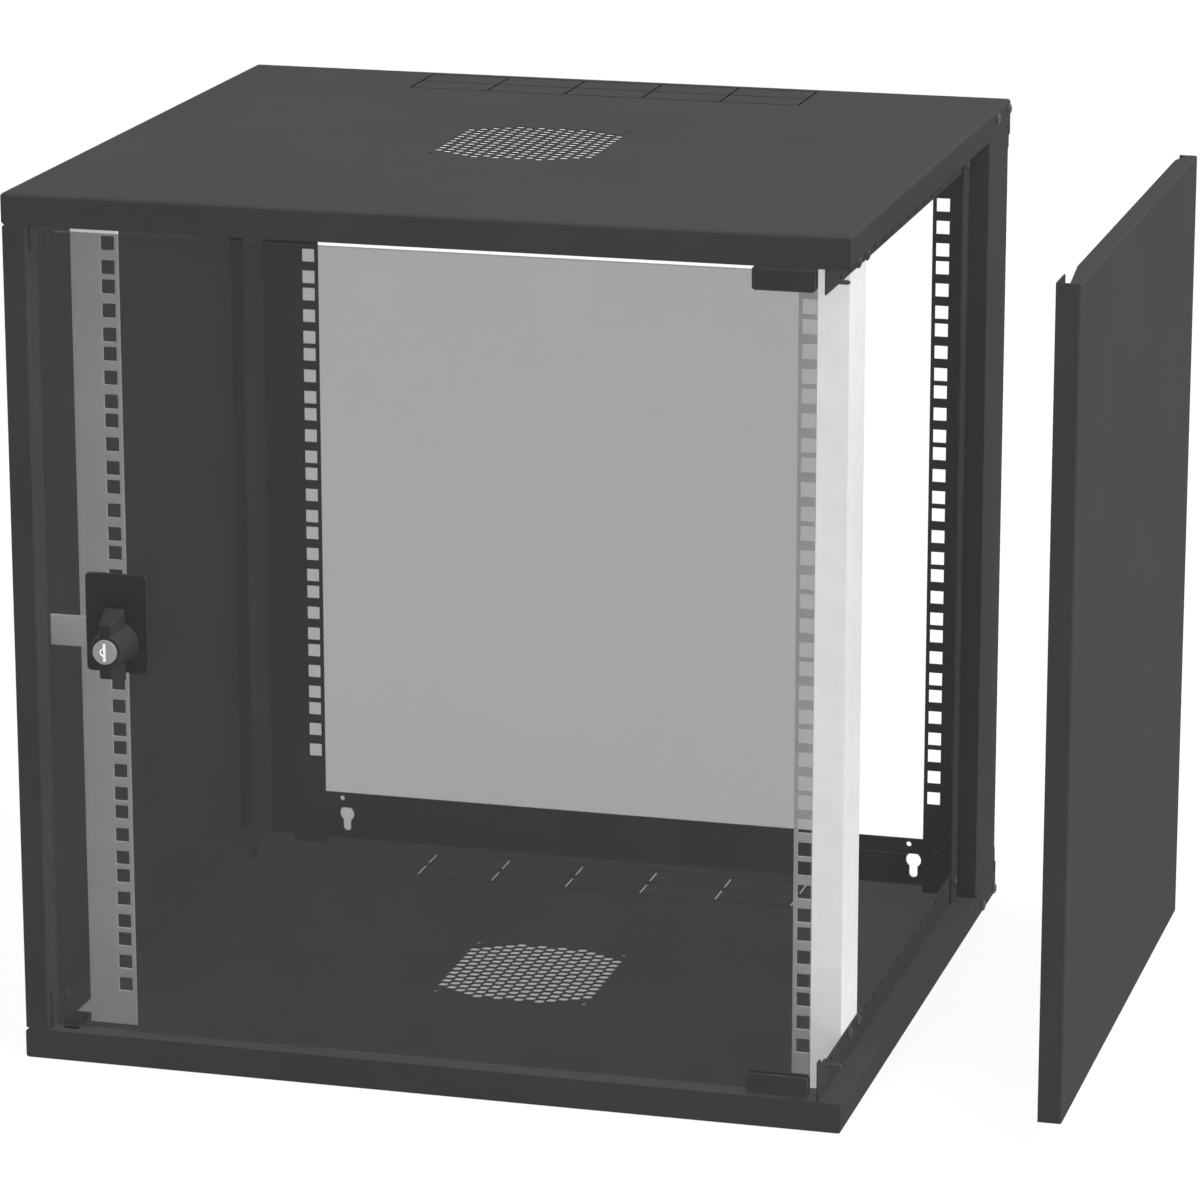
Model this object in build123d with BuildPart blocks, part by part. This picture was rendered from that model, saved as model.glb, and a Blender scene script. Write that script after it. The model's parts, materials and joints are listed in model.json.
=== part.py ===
from build123d import *
import os
from math import sqrt

# A wall mount network cabinet for 19-inch equipment: two folded trays on two rear posts, zinc front
# rails, a glass door on pins with a turning lock, and two side panels that come off.
# Lengths are in millimetres. X runs to the right as seen from the door, Y from the door to the wall
# and Z up. The origin is the centre of the floor tray's underside.

os.makedirs("parts", exist_ok=True)

# The 19-inch grid
rack_units = 12
rear_rack_units = 10
unit_height = 44.45
unit_hole_heights = (6.35, 22.225, 38.1)
hole_column_distance = 465.1
square_hole = 9.5
rack_opening = 450.6

# The whole cabinet
cabinet_width = 550.0
cabinet_depth = 504.0
rack_margin = 23.0

# Sheets and folds
tray_sheet = 1.0
post_sheet = 1.5
rail_sheet = 1.5
panel_sheet = 1.0
crossbar_sheet = 1.5
fold_radius = 2.5

# Clearances
panel_clearance = 0.6
panel_edge_clearance = 0.4
screw_clearance = 0.3
pin_clearance = 0.1
barrel_clearance = 0.5
shaft_clearance = 0.1
turning_gap = 0.2

# Trays
front_lip_height = 20.8
side_lip_height = 18.0
rear_lip_height = 24.9
lip_corner = 2.0
hem_depth = 12.6
hem_end_margin = 17.0
flange_width = 16.2
flange_height = 20.0
flange_front_margin = 5.8
flange_tab_height = 7.0
flange_tab_length = 6.2
flange_tab_slope = 10.0

# Fan vents
vent_pitch = 8.45
vent_web = 1.25
vent_sides = 6
vent_rows = 14
vent_side_columns = 7
vent_flat_columns = 3
fan_screw_distance = 105.0
fan_screw_hole = 4.3
vent_field_margin = 10.0
roof_vent_shift = 2.0

# Cable knock-outs
knockout_columns = 5
knockout_pitch = 55.8
knockout_depth = 28.0
roof_knockout_margin = 9.5
floor_knockout_margin = 15.0
knockout_groove_width = 0.8
knockout_groove_depth = 0.4
knockout_slit_width = 1.8
knockout_slit_length = 22.5

# Rear posts and the rear 19-inch flanges
post_front_distance = 68.0
post_lip_depth = 18.0
rear_rail_distance = 18.9
rear_rail_width = 23.1
foot_hole = 3.0
foot_hole_heights = (12.2, 35.7)
foot_hole_from_edge = 10.2

# Crossbars and wall keyholes
crossbar_height = 35.2
keyhole_distance = 429.5
keyhole_head = 11.3
keyhole_head_height = 20.3
keyhole_slot = 6.3
keyhole_slot_bottom = 7.0
steady_hole = 3.8
steady_hole_height = 32.0
steady_hole_shift = 3.7

# Front rails
front_rail_distance = 75.9
front_rail_depth = 46.9
foot_ear_width = 10.4
foot_ear_bottom = 7.2
foot_ear_top = 16.2
rail_screw_row = 34.9
rail_screw_first = 94.0
rail_screw_pitch = 25.0

# Side panels
panel_fold = 1.5
panel_lip_depth = 39.0
panel_lip_end_depth = 26.5
panel_lip_end_height = 8.0
panel_rear_width = 12.1
panel_flange_width = 12.0
panel_flange_taper = 5.0
panel_front_taper_end = 52.0
panel_rear_taper = 10.0
panel_rear_gap = 0.3
panel_pull = 142.0

# Screws
screw_sides = 6
round_sides = 24
screw_shank = 4.0
screw_head = 8.0
screw_head_height = 2.4
panel_screw_from_front = 31.3
panel_screw_height = 34.7
panel_screw_reach = 9.0
lip_screw_height = 33.4
corner_screw_height = 6.2
corner_screw_rear_distances = (47.0, 7.0)

# Glass door and its hinges
glass_sheet = 4.0
glass_front = 2.25
glass_side_margin = 21.5
glass_gap = 3.2
hinge_inset = 29.0
clip_sheet = 1.2
clip_pad_sheet = 0.4
clip_length = 40.0
clip_height = 13.5
clip_end_gap = 0.3
clip_corner_radius = 2.5
clip_screw_spacing = 20.0
clip_screw = 5.0
hinge_pin = 5.0
hinge_pin_reach = 2.0
hinge_washer = 9.0
washer_gap = 0.1
bumper_width = 10.0
bumper_length = 17.4
bumper_height = 5.7
bumper_chamfer = 1.0
bumper_offset = 29.6
bumper_gap = 0.35

# Lock
lock_from_glass_edge = 50.1
lock_plate_width = 41.4
lock_plate_height = 65.1
lock_plate_sheet = 2.25
lock_plate_corner = 3.0
lock_axis_shift = 0.8
lock_axis_drop = 12.75
lock_barrel = 16.0
lock_barrel_bore = 10.0
lock_barrel_length = 20.0
gasket_diameter = 26.0
gasket_sheet = 1.0
lock_nut_width = 22.0
lock_nut_height = 5.0
nut_clearance = 0.05
knob_base = 28.0
knob_hub = 20.0
knob_reach = 24.0
grip_base_width = 13.5
grip_base_height = 48.0
grip_tip_width = 8.5
grip_tip_height = 36.0
grip_step = 4.0
grip_corner = 3.5
grip_tip_corner = 2.2
cylinder_face = 15.8
cylinder_collar_depth = 4.0
cylinder_barrel = 11.0
cylinder_barrel_depth = 17.0
cylinder_proud = 2.0
key_slot_width = 2.2
key_slot_height = 12.0
key_slot_depth = 5.5
spindle_square = 6.5
cam_gap = 0.35
cam_sheet = 2.0
cam_arm_width = 20.5
cam_arm_below_axis = 1.3
cam_hub = 21.0
cam_tip_clearance = 1.2
cam_screw_head = 9.0
cam_screw_head_height = 2.6
cam_screw_shank = 3.5
cam_screw_length = 8.0

# Places that follow from the sizes above
cabinet_height = rack_units * unit_height + 2 * rack_margin
half_width = cabinet_width / 2
front = -cabinet_depth / 2
rear = cabinet_depth / 2
mid_plane = Plane.XY.offset(cabinet_height / 2)
hole_column = hole_column_distance / 2
rack_edge = rack_opening / 2
flange_x = half_width - flange_width
screw_hole = screw_shank + 2 * screw_clearance
lip_x = flange_x + post_sheet
post_front = rear - post_front_distance
tray_rear_end = post_front - panel_rear_gap
panel_bottom = front_lip_height + panel_edge_clearance
panel_lip_x = flange_x + panel_clearance
glass_bottom = front_lip_height + glass_gap
glass_top = cabinet_height - glass_bottom
glass_width = cabinet_width - 2 * glass_side_margin
hinge_x = half_width - hinge_inset
door_y = front + glass_front + glass_sheet / 2
lock_x = lock_from_glass_edge - glass_width / 2
lock_z = cabinet_height / 2
cam_tip_x = cam_tip_clearance - panel_lip_x


def folded_profile(points, sheet, side):
    """Section of a folded sheet whose outer skin runs through the points."""
    with BuildSketch() as profile:
        with BuildLine():
            Polyline(*points)
            offset(amount=sheet, side=side, kind=Kind.INTERSECTION)
        make_face()
    return profile.sketch


def rack_hole_heights(units):
    """Heights of the square holes of some units, centred on the cabinet."""
    bottom = (cabinet_height - units * unit_height) / 2
    return [bottom + unit * unit_height + height for unit in range(units) for height in unit_hole_heights]


def vent_centres():
    """Hole centres of a fan vent: staggered columns, shorter towards both sides."""
    centres = []
    for column in range(-vent_side_columns, vent_side_columns + 1):
        longest = vent_rows - (column + 1) % 2
        rows = min(longest, vent_rows + vent_flat_columns - abs(column))
        for row in range(rows):
            centres.append((column * vent_pitch * sqrt(3) / 2, (row - (rows - 1) / 2) * vent_pitch))
    return centres


def keyhole_profile():
    """A keyhole for a wall screw: round head with a slot below it, cut level with the rear lip."""
    with BuildSketch() as profile:
        with Locations((0, keyhole_head_height)):
            Circle(keyhole_head / 2)
        with Locations((0, keyhole_slot_bottom + keyhole_slot / 2)):
            Circle(keyhole_slot / 2)
        with Locations((0, keyhole_slot_bottom + keyhole_slot / 2)):
            slot_height = keyhole_head_height - keyhole_slot_bottom - keyhole_slot / 2
            Rectangle(keyhole_slot, slot_height, align=(Align.CENTER, Align.MIN))
        with Locations((0, rear_lip_height)):
            Rectangle(keyhole_head, keyhole_head, align=(Align.CENTER, Align.MIN), mode=Mode.SUBTRACT)
    return profile.sketch


def panel_profile():
    """Plan of the right side panel: rear flange, face, front flange and return lip."""
    points = (
        (half_width - panel_rear_width, tray_rear_end),
        (half_width, tray_rear_end),
        (half_width, front),
        (panel_lip_x, front),
        (panel_lip_x, front + panel_lip_depth),
    )
    return folded_profile(points, panel_sheet, Side.RIGHT)


def facing_right(x, y, z):
    """A plane that looks to the right, with its own x along the depth."""
    return Plane(origin=(x, y, z), x_dir=(0, 1, 0), z_dir=(1, 0, 0))


def facing_front(x, y, z):
    """A plane that looks at the viewer, with its own x to the right."""
    return Plane(origin=(x, y, z), x_dir=(1, 0, 0), z_dir=(0, -1, 0))


# Square field of a tray that holds a fan vent: a honeycomb of holes between four fan screw holes
vent_field_width = fan_screw_distance + 2 * vent_field_margin
with BuildSketch() as vent_field:
    Rectangle(vent_field_width, vent_field_width)
    with Locations(*vent_centres()):
        RegularPolygon((vent_pitch - vent_web) / 2, vent_sides, major_radius=False, mode=Mode.SUBTRACT)
    with GridLocations(fan_screw_distance, fan_screw_distance, 2, 2):
        Circle(fan_screw_hole / 2, mode=Mode.SUBTRACT)

# Folded tray as the floor has it, before its vent and knock-outs
flange_top = side_lip_height + flange_height
with BuildPart() as tray_blank:
    with BuildSketch():
        Rectangle(cabinet_width, cabinet_depth)
    extrude(amount=rear_lip_height)
    fillet(tray_blank.edges().group_by(Axis.Z)[0], fold_radius)
    offset(amount=-tray_sheet, openings=tray_blank.faces().sort_by(Axis.Z)[-1])
    with BuildSketch(Plane.XY.offset(front_lip_height)):
        with Locations((0, -tray_sheet)):
            Rectangle(cabinet_width, cabinet_depth)
    extrude(amount=rear_lip_height, mode=Mode.SUBTRACT)
    with BuildSketch(Plane.XY.offset(side_lip_height)):
        Rectangle(cabinet_width, cabinet_depth - 2 * tray_sheet)
    extrude(amount=rear_lip_height, mode=Mode.SUBTRACT)
    with BuildSketch(facing_front(0, front, front_lip_height)):
        with Locations((-half_width, 0), (half_width, 0)):
            RegularPolygon(lip_corner, 4)
    extrude(amount=-tray_sheet, mode=Mode.SUBTRACT)
    with BuildSketch(Plane.XY.offset(front_lip_height - tray_sheet)):
        with Locations((0, front)):
            Rectangle(cabinet_width - 2 * hem_end_margin, hem_depth, align=(Align.CENTER, Align.MIN))
    extrude(amount=tray_sheet)
    with BuildSketch(facing_front(0, front + flange_front_margin, 0)):
        points = ((flange_x, flange_top), (flange_x, side_lip_height), (half_width, side_lip_height))
        add(folded_profile(points, tray_sheet, Side.RIGHT))
    extrude(amount=front + flange_front_margin - tray_rear_end)
    mirror(about=Plane.YZ)
    with BuildSketch(facing_front(0, rear, 0)):
        with Locations((-keyhole_distance / 2, 0), (keyhole_distance / 2, 0)):
            add(keyhole_profile())
    extrude(amount=tray_sheet, mode=Mode.SUBTRACT)
    with Locations((hinge_x, door_y, front_lip_height)):
        Hole(hinge_pin / 2 + pin_clearance, depth=tray_sheet)
    with BuildSketch(facing_right(flange_x, front, 0)):
        with Locations((panel_screw_from_front, panel_screw_height)):
            RegularPolygon(screw_hole / 2, screw_sides)
    extrude(amount=-tray_sheet, mode=Mode.SUBTRACT)
    with BuildSketch(facing_right(-flange_x, front, 0)):
        with Locations((panel_screw_from_front, panel_screw_height)):
            RegularPolygon(screw_hole / 2, screw_sides)
    extrude(amount=tray_sheet, mode=Mode.SUBTRACT)

# Floor tray: front tabs on the flanges, vent, and knock-outs cut nearly through
floor_knockout_rear = rear - floor_knockout_margin
with BuildPart() as floor_tray:
    add(tray_blank)
    with BuildSketch(facing_right(flange_x, front + flange_front_margin, flange_top)):
        with BuildLine():
            Polyline(
                (0, 0),
                (0, flange_tab_height),
                (flange_tab_length, flange_tab_height),
                (flange_tab_length + flange_tab_slope, 0),
                close=True,
            )
        make_face()
    front_tab = extrude(amount=-tray_sheet)
    mirror(front_tab, about=Plane.YZ)
    with BuildSketch(Plane.XY.offset(tray_sheet)):
        with Locations((0, floor_knockout_rear - knockout_depth)):
            with GridLocations(knockout_pitch, knockout_depth, knockout_columns + 1, 2):
                Rectangle(knockout_slit_width, knockout_slit_length)
    extrude(amount=-tray_sheet, mode=Mode.SUBTRACT)
    with BuildSketch(Plane.XY.offset(tray_sheet)):
        with Locations((0, floor_knockout_rear - knockout_depth)):
            with GridLocations(knockout_pitch, knockout_depth, 1, 3):
                Rectangle(knockout_columns * knockout_pitch, knockout_groove_width)
    extrude(amount=-knockout_groove_depth, mode=Mode.SUBTRACT)
    with BuildSketch(Plane((0, -vent_pitch / 2, 0))):
        Rectangle(vent_field_width, vent_field_width)
    extrude(amount=tray_sheet, mode=Mode.SUBTRACT)
    with BuildSketch(Plane((0, -vent_pitch / 2, 0))):
        add(vent_field)
    extrude(amount=tray_sheet)

# Roof tray: the same tray turned over, its vent and knock-outs further back
with BuildPart() as roof_tray:
    mirror(tray_blank.part, about=mid_plane)
    with BuildSketch(Plane.XY.offset(cabinet_height)):
        with Locations((0, rear - roof_knockout_margin - knockout_depth)):
            with GridLocations(knockout_pitch, knockout_depth, knockout_columns + 1, 1):
                Rectangle(knockout_groove_width, 2 * knockout_depth)
            with GridLocations(knockout_pitch, knockout_depth, 1, 3):
                Rectangle(knockout_columns * knockout_pitch, knockout_groove_width)
    extrude(amount=-knockout_groove_depth, mode=Mode.SUBTRACT)
    with BuildSketch(Plane((0, roof_vent_shift, cabinet_height))):
        Rectangle(vent_field_width, vent_field_width)
    extrude(amount=-tray_sheet, mode=Mode.SUBTRACT)
    with BuildSketch(Plane((0, roof_vent_shift, cabinet_height))):
        add(vent_field)
    extrude(amount=-tray_sheet)

# Rear posts: front lip, front return, outer wall, rear return and 19-inch flange in one fold
post_x = half_width - tray_sheet
post_rear = rear - tray_sheet
post_foot = fold_radius
rear_rail_face = rear - rear_rail_distance
foot_hole_x = rack_edge + foot_hole_from_edge
with BuildPart() as rear_post_right:
    with BuildSketch(Plane.XY.offset(post_foot)):
        points = (
            (lip_x, post_front - post_lip_depth),
            (lip_x, post_front),
            (post_x, post_front),
            (post_x, post_rear),
            (rack_edge + rear_rail_width, post_rear),
            (rack_edge + rear_rail_width, rear_rail_face + post_sheet),
            (rack_edge, rear_rail_face + post_sheet),
        )
        add(folded_profile(points, post_sheet, Side.LEFT))
    extrude(amount=cabinet_height - 2 * post_foot)
    with BuildSketch(Plane.XY.offset(post_foot)):
        with Locations((lip_x, post_front)):
            Rectangle(2 * post_sheet, 2 * post_lip_depth)
    extrude(amount=side_lip_height - post_foot, mode=Mode.SUBTRACT)
    with BuildSketch(Plane.XY.offset(cabinet_height - side_lip_height)):
        with Locations((lip_x, post_front)):
            Rectangle(2 * post_sheet, 2 * post_lip_depth)
    extrude(amount=side_lip_height - post_foot, mode=Mode.SUBTRACT)
    with BuildSketch(facing_front(0, rear_rail_face, 0)):
        with Locations(*[(hole_column, height) for height in rack_hole_heights(rear_rack_units)]):
            Rectangle(square_hole, square_hole)
        for height in foot_hole_heights:
            with Locations((foot_hole_x, height), (foot_hole_x, cabinet_height - height)):
                RegularPolygon(foot_hole / 2, screw_sides)
    extrude(amount=-post_sheet, mode=Mode.SUBTRACT)
with BuildPart() as rear_post_left:
    mirror(rear_post_right.part, about=Plane.YZ)

# Crossbars behind the rear lips, with the wall keyholes
with BuildPart() as crossbar_bottom:
    with BuildSketch(facing_front(0, rear, tray_sheet)):
        Rectangle(2 * post_x, crossbar_height, align=(Align.CENTER, Align.MIN))
    extrude(amount=-crossbar_sheet)
    fillet(crossbar_bottom.edges().filter_by(Axis.Y), fold_radius)
    with BuildSketch(facing_front(0, rear, 0)):
        with Locations((-keyhole_distance / 2, 0), (keyhole_distance / 2, 0)):
            add(keyhole_profile())
        with Locations(
            (-keyhole_distance / 2 - steady_hole_shift, steady_hole_height),
            (keyhole_distance / 2 - steady_hole_shift, steady_hole_height),
        ):
            Circle(steady_hole / 2)
    extrude(amount=-crossbar_sheet, mode=Mode.SUBTRACT)
with BuildPart() as crossbar_top:
    mirror(crossbar_bottom.part, about=mid_plane)

# Zinc front rails: an angle with square holes, and a foot ear at both ends
rail_x = flange_x - tray_sheet
rail_face = front + front_rail_distance
rail_height = cabinet_height - 2 * tray_sheet
with BuildPart() as front_rail_right:
    with BuildSketch(Plane.XY.offset(tray_sheet)):
        points = ((rack_edge, rail_face), (rail_x, rail_face), (rail_x, rail_face + front_rail_depth))
        add(folded_profile(points, rail_sheet, Side.LEFT))
    extrude(amount=rail_height)
    with BuildSketch(facing_front(0, rail_face, 0)):
        with Locations((rail_x - rail_sheet, foot_ear_bottom)):
            ear_width = foot_ear_width + rail_sheet
            Rectangle(ear_width, foot_ear_top - foot_ear_bottom, align=(Align.MIN, Align.MIN))
        with Locations((rail_x - rail_sheet, cabinet_height - foot_ear_bottom)):
            Rectangle(ear_width, foot_ear_top - foot_ear_bottom, align=(Align.MIN, Align.MAX))
    extrude(amount=-rail_sheet)
    with BuildSketch(facing_front(0, rail_face, 0)):
        with Locations(*[(hole_column, height) for height in rack_hole_heights(rack_units)]):
            Rectangle(square_hole, square_hole)
    extrude(amount=-rail_sheet, mode=Mode.SUBTRACT)
with BuildPart() as front_rail_left:
    mirror(front_rail_right.part, about=Plane.YZ)

# Side panels: a folded pan with end flanges, its return lip trimmed at both ends
panel_top = cabinet_height - panel_bottom
panel_height = panel_top - panel_bottom
flange_edge = half_width - panel_flange_width
with BuildPart() as seated_panel:
    with BuildSketch(Plane.XY.offset(panel_bottom)):
        add(panel_profile())
    extrude(amount=panel_height)
    with BuildSketch(Plane.XY.offset(panel_bottom), Plane.XY.offset(panel_top - panel_sheet)):
        with BuildLine():
            Polyline(
                (half_width - panel_sheet / 2, front + panel_sheet / 2),
                (flange_edge + panel_flange_taper, front + panel_sheet / 2),
                (flange_edge, front + panel_front_taper_end),
                (flange_edge, tray_rear_end - 2 * panel_rear_taper),
                (flange_edge + panel_flange_taper, tray_rear_end - panel_sheet / 2),
                (half_width - panel_sheet / 2, tray_rear_end - panel_sheet / 2),
                close=True,
            )
        make_face()
    extrude(amount=panel_sheet)
    with BuildSketch(facing_right(panel_lip_x, front + panel_lip_end_depth, 0)):
        with Locations((0, panel_bottom)):
            Rectangle(panel_lip_depth, panel_lip_end_height, align=(Align.MIN, Align.MIN))
        with Locations((0, panel_top)):
            Rectangle(panel_lip_depth, panel_lip_end_height, align=(Align.MIN, Align.MAX))
    extrude(amount=panel_sheet, mode=Mode.SUBTRACT)
    with BuildSketch(facing_right(panel_lip_x, front, 0)):
        with Locations(
            (panel_screw_from_front, panel_screw_height),
            (panel_screw_from_front, cabinet_height - panel_screw_height),
        ):
            RegularPolygon(screw_hole / 2, screw_sides)
    extrude(amount=panel_sheet, mode=Mode.SUBTRACT)
    fillet(seated_panel.edges().group_by(Axis.X)[-1], panel_fold)
with BuildPart() as side_panel_left:
    mirror(seated_panel.part, about=Plane.YZ)
with BuildPart() as side_panel_right:
    add(seated_panel.part.moved(Location((panel_pull, 0, 0))))

# Captive screws that reach out through the flanges into the side panels
with BuildPart() as panel_screws:
    with BuildSketch(facing_right(flange_x - tray_sheet, front, 0)):
        with Locations(
            (panel_screw_from_front, panel_screw_height),
            (panel_screw_from_front, cabinet_height - panel_screw_height),
        ):
            RegularPolygon(screw_head / 2, screw_sides)
    extrude(amount=-screw_head_height)
    with BuildSketch(facing_right(flange_x - tray_sheet, front, 0)):
        with Locations(
            (panel_screw_from_front, panel_screw_height),
            (panel_screw_from_front, cabinet_height - panel_screw_height),
        ):
            RegularPolygon(screw_shank / 2, screw_sides)
    extrude(amount=tray_sheet + panel_screw_reach)
    mirror(about=Plane.YZ)

# Heads of the screws from tray to post, from flange to post lip, and from flange to front rail
with BuildPart() as corner_screws:
    with BuildSketch(facing_right(half_width, rear, 0)):
        for height in (corner_screw_height, cabinet_height - corner_screw_height):
            with Locations(*[(-distance, height) for distance in corner_screw_rear_distances]):
                RegularPolygon(screw_head / 2, screw_sides)
    extrude(amount=screw_head_height)
    mirror(about=Plane.YZ)
with BuildPart() as lip_screws:
    with BuildSketch(facing_right(lip_x, post_front - post_lip_depth / 2, 0)):
        with Locations((0, lip_screw_height), (0, cabinet_height - lip_screw_height)):
            RegularPolygon(screw_head / 2, screw_sides)
    extrude(amount=screw_head_height)
    mirror(about=Plane.YZ)
with BuildPart() as rail_screws:
    with BuildSketch(facing_right(flange_x, front + rail_screw_first, 0)):
        for height in (rail_screw_row, cabinet_height - rail_screw_row):
            with Locations((0, height), (rail_screw_pitch, height)):
                RegularPolygon(screw_head / 2, screw_sides)
    extrude(amount=screw_head_height)
    mirror(about=Plane.YZ)

# Glass door with a round hole for the lock
glass_back = front + glass_front + glass_sheet
with BuildPart() as door_glass:
    with BuildSketch(facing_front(0, glass_back, 0)):
        with Locations((0, glass_bottom)):
            Rectangle(glass_width, glass_top - glass_bottom, align=(Align.CENTER, Align.MIN))
        with Locations((lock_x, lock_z)):
            Circle(lock_barrel / 2 + barrel_clearance, mode=Mode.SUBTRACT)
    extrude(amount=glass_sheet)

# Hinge clips: channels over the glass's corners, on rubber liners, with set screws at the back
clip_right = glass_width / 2 - clip_end_gap
clip_base = glass_bottom - clip_pad_sheet - clip_sheet
clip_front = front + glass_front - clip_pad_sheet - clip_sheet
clip_back = glass_back + clip_pad_sheet + clip_sheet
clip_top = clip_base + clip_height
with BuildPart() as hinge_clip_bottom:
    with BuildSketch(facing_right(clip_right, 0, 0)):
        points = (
            (clip_front, clip_top),
            (clip_front, clip_base),
            (clip_back, clip_base),
            (clip_back, clip_top),
        )
        add(folded_profile(points, clip_sheet, Side.LEFT))
    extrude(amount=-clip_length)
    fillet(hinge_clip_bottom.edges().filter_by(Axis.Y).group_by(Axis.Z)[-1], clip_corner_radius)
with BuildPart() as hinge_clip_top:
    mirror(hinge_clip_bottom.part, about=mid_plane)
with BuildPart() as clip_pad_bottom:
    with BuildSketch(facing_right(clip_right, 0, 0)):
        points = (
            (clip_front + clip_sheet, clip_top - clip_corner_radius),
            (clip_front + clip_sheet, clip_base + clip_sheet),
            (clip_back - clip_sheet, clip_base + clip_sheet),
            (clip_back - clip_sheet, clip_top - clip_corner_radius),
        )
        add(folded_profile(points, clip_pad_sheet, Side.LEFT))
    extrude(amount=-clip_length)
with BuildPart() as clip_pad_top:
    mirror(clip_pad_bottom.part, about=mid_plane)
with BuildPart() as clip_screws:
    with BuildSketch(facing_front(clip_right - clip_length / 2, clip_back, clip_base + clip_height / 2)):
        with GridLocations(clip_screw_spacing, 0, 2, 1):
            RegularPolygon(clip_screw / 2, screw_sides)
    extrude(amount=-clip_sheet)
    mirror(about=mid_plane)

# Hinge pins on the clips, running in the trays' hems, with a washer between clip and hem
with BuildPart() as hinge_pin_bottom:
    with BuildSketch(Plane.XY.offset(clip_base)):
        with Locations((hinge_x, door_y)):
            Circle(hinge_pin / 2)
    extrude(amount=front_lip_height - tray_sheet - hinge_pin_reach - clip_base)
with BuildPart() as hinge_pin_top:
    mirror(hinge_pin_bottom.part, about=mid_plane)
with BuildPart() as hinge_washers:
    with BuildSketch(Plane.XY.offset(front_lip_height)):
        with Locations((hinge_x, door_y)):
            RegularPolygon(hinge_washer / 2, round_sides)
            Circle(hinge_pin / 2 + pin_clearance, mode=Mode.SUBTRACT)
    extrude(amount=clip_base - front_lip_height - washer_gap)
    mirror(about=mid_plane)

# Stop block on the floor tray's hem, just behind the shut glass
with BuildPart() as door_bumper:
    with BuildSketch(Plane.XY.offset(front_lip_height)):
        with Locations((bumper_offset - half_width, glass_back + bumper_gap)):
            Rectangle(bumper_width, bumper_length, align=(Align.CENTER, Align.MIN))
    extrude(amount=bumper_height)
    chamfer(door_bumper.edges().filter_by(Axis.X).group_by(Axis.Z)[-1], bumper_chamfer)

# Lock housing: plate on the glass and a barrel through it, clamped by a nut on a gasket
plate_front = front + glass_front - lock_plate_sheet
barrel_end = front + glass_front + lock_barrel_length
with BuildPart() as lock_housing:
    with BuildSketch(facing_front(lock_x - lock_axis_shift, plate_front, lock_z + lock_axis_drop)):
        RectangleRounded(lock_plate_width, lock_plate_height, lock_plate_corner)
    extrude(amount=-lock_plate_sheet)
    with BuildSketch(facing_front(lock_x, plate_front + lock_plate_sheet, lock_z)):
        Circle(lock_barrel / 2)
    extrude(amount=-lock_barrel_length)
    with BuildSketch(facing_front(lock_x, plate_front, lock_z)):
        Circle(lock_barrel_bore / 2)
    extrude(amount=-lock_plate_sheet - lock_barrel_length, mode=Mode.SUBTRACT)
with BuildPart() as lock_gasket:
    with BuildSketch(facing_front(lock_x, glass_back, lock_z)):
        RegularPolygon(gasket_diameter / 2, round_sides)
        RegularPolygon(lock_barrel / 2 + screw_clearance, round_sides, major_radius=False, mode=Mode.SUBTRACT)
    extrude(amount=-gasket_sheet)
with BuildPart() as lock_nut:
    with BuildSketch(facing_front(lock_x, glass_back + gasket_sheet, lock_z)):
        RegularPolygon(lock_nut_width / 2, 6, major_radius=False)
        RegularPolygon(lock_barrel / 2 + nut_clearance, round_sides, major_radius=False, mode=Mode.SUBTRACT)
    extrude(amount=-lock_nut_height)

# Turning grip: a cone with a tapered bar across it, and the spindle that carries the cam
cam_front = barrel_end + cam_gap
cam_bore = spindle_square + 2 * shaft_clearance
knob_front = plate_front - knob_reach
cylinder_front = knob_front - cylinder_proud
cylinder_end = cylinder_front + cylinder_barrel_depth
with BuildPart() as lock_knob:
    with BuildSketch(facing_front(lock_x, plate_front - turning_gap, lock_z)):
        RegularPolygon(knob_base / 2, round_sides)
    with BuildSketch(facing_front(lock_x, knob_front, lock_z)):
        RegularPolygon(knob_hub / 2, round_sides)
    loft()
    with BuildSketch(facing_front(lock_x, plate_front - grip_step, lock_z)) as grip_foot:
        Rectangle(grip_base_width, grip_base_height)
        chamfer(grip_foot.vertices(), grip_corner)
    with BuildSketch(facing_front(lock_x, knob_front, lock_z)) as grip_tip:
        Rectangle(grip_tip_width, grip_tip_height)
        chamfer(grip_tip.vertices(), grip_tip_corner)
    loft()
    with BuildSketch(facing_front(lock_x, plate_front - turning_gap, lock_z)):
        RegularPolygon(lock_barrel_bore / 2 - shaft_clearance, round_sides)
    extrude(amount=plate_front - turning_gap - cam_front)
    with BuildSketch(facing_front(lock_x, cam_front, lock_z)):
        Rectangle(spindle_square, spindle_square)
    extrude(amount=-cam_sheet)
    with BuildSketch(facing_front(lock_x, knob_front, lock_z)):
        RegularPolygon(cylinder_face / 2 + shaft_clearance, round_sides, major_radius=False)
    extrude(amount=-cylinder_collar_depth - turning_gap, mode=Mode.SUBTRACT)
    with BuildSketch(facing_front(lock_x, knob_front, lock_z)):
        RegularPolygon(cylinder_barrel / 2 + shaft_clearance, round_sides, major_radius=False)
    extrude(amount=knob_front - cylinder_end - turning_gap, mode=Mode.SUBTRACT)
    with BuildSketch(facing_front(lock_x, cam_front + cam_sheet, lock_z)):
        RegularPolygon(cam_screw_shank / 2 + shaft_clearance, screw_sides, major_radius=False)
    extrude(amount=cam_screw_length + turning_gap, mode=Mode.SUBTRACT)

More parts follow.
